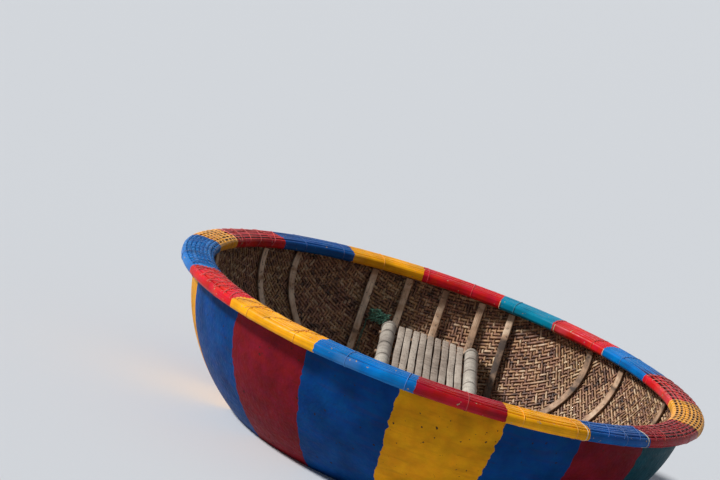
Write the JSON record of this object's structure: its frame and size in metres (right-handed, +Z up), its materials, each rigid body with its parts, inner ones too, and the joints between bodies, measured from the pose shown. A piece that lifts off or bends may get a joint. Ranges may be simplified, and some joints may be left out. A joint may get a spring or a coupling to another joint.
{
  "type": "coracle",
  "caption": "Round basket boat: woven bamboo bowl with a painted coat, a thick lashed rim of bent laths, crossing inside ribs and a slatted bench on two bamboo poles.",
  "frame": {"origin": "middle of the underside of the flat floor", "axes": "+Z up through the middle of the bowl, +Y along the bench, +X across the bench"},
  "size_m": [2.0068, 2.0068, 0.6393],
  "materials": {
    "hull_paint": "glossy resin coat painted in wide sectors of blue, red, yellow and teal, scuffed",
    "weave": "woven split bamboo, brown, dull",
    "rim_paint": "bent bamboo laths painted in short stretches of red, blue, yellow and teal, glossy and chipped",
    "rim_cord": "twisted cord, painted over with the rim",
    "rib_bamboo": "split bamboo, weathered",
    "pole_bamboo": "round bamboo, weathered grey",
    "slat_bamboo": "sawn bamboo slats, weathered grey",
    "tie_cord": "green nylon cord"
  },
  "bodies": {
    "root": {"hull_coat": "hull_paint", "hull_weave": "weave", "rim_lath_outer_1": "rim_paint", "rim_lath_outer_2": "rim_paint", "rim_lath_outer_3": "rim_paint", "rim_lath_outer_4": "rim_paint", "rim_lath_inner_1": "rim_paint", "rim_lath_inner_2": "rim_paint", "rim_lath_inner_3": "rim_paint", "rim_lashing": "rim_cord", "cross_rib_far_end": "rib_bamboo", "cross_rib_far_side": "rib_bamboo", "cross_rib_far_middle": "rib_bamboo", "cross_rib_centre": "rib_bamboo", "cross_rib_near_middle": "rib_bamboo", "cross_rib_near_side": "rib_bamboo", "cross_rib_near_end": "rib_bamboo", "long_rib_left_outer": "rib_bamboo", "long_rib_left_inner": "rib_bamboo", "long_rib_centre": "rib_bamboo", "long_rib_right_inner": "rib_bamboo", "long_rib_right_outer": "rib_bamboo", "bench_pole_left": "pole_bamboo", "bench_pole_right": "pole_bamboo", "bench_bearer_1": "pole_bamboo", "bench_bearer_2": "pole_bamboo", "bench_bearer_3": "pole_bamboo", "bench_bearer_4": "pole_bamboo", "bench_bearer_5": "pole_bamboo", "bench_slat_1": "slat_bamboo", "bench_slat_2": "slat_bamboo", "bench_slat_3": "slat_bamboo", "bench_slat_4": "slat_bamboo", "bench_slat_5": "slat_bamboo", "bench_slat_6": "slat_bamboo", "bench_slat_7": "slat_bamboo", "bench_slat_8": "slat_bamboo", "bench_slat_9": "slat_bamboo", "bench_ties": "tie_cord"}
  },
  "joints": []
}
